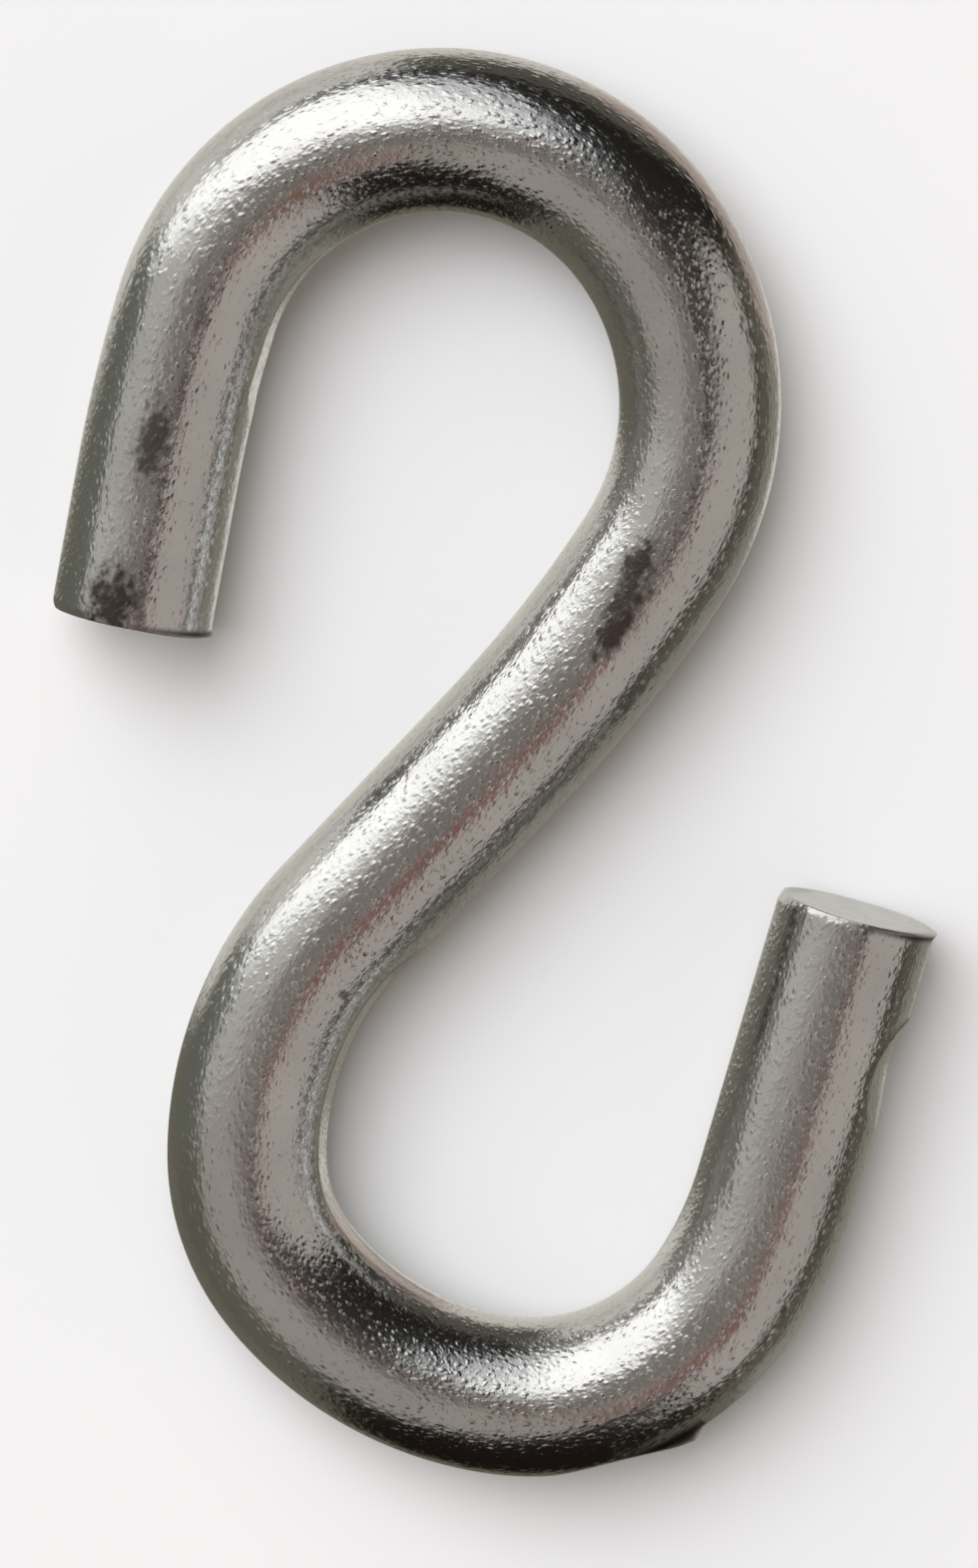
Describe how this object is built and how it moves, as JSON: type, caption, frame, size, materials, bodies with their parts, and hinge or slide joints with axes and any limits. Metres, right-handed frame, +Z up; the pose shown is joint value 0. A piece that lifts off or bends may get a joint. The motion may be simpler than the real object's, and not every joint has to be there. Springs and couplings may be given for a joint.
{
  "type": "s hook",
  "caption": "Open S hook bent from a length of round zinc-plated steel wire, with a bight at each end and square-cut ends, lying flat on its side.",
  "frame": {"origin": "middle of the hook's outer box, at the surface that it lies on", "axes": "+Y along the line between the two crowns' centres, towards the upper bight; +X towards the lower bight's arm; +Z up, square to the plane that the wire is bent in"},
  "size_m": [0.033, 0.057, 0.0064],
  "materials": {
    "zinc_steel": "bright zinc plating on drawn steel wire, fine sparkle, faint draw lines, small brown stains and tool marks"
  },
  "bodies": {
    "root": {"wire_hook": "zinc_steel"}
  },
  "joints": []
}
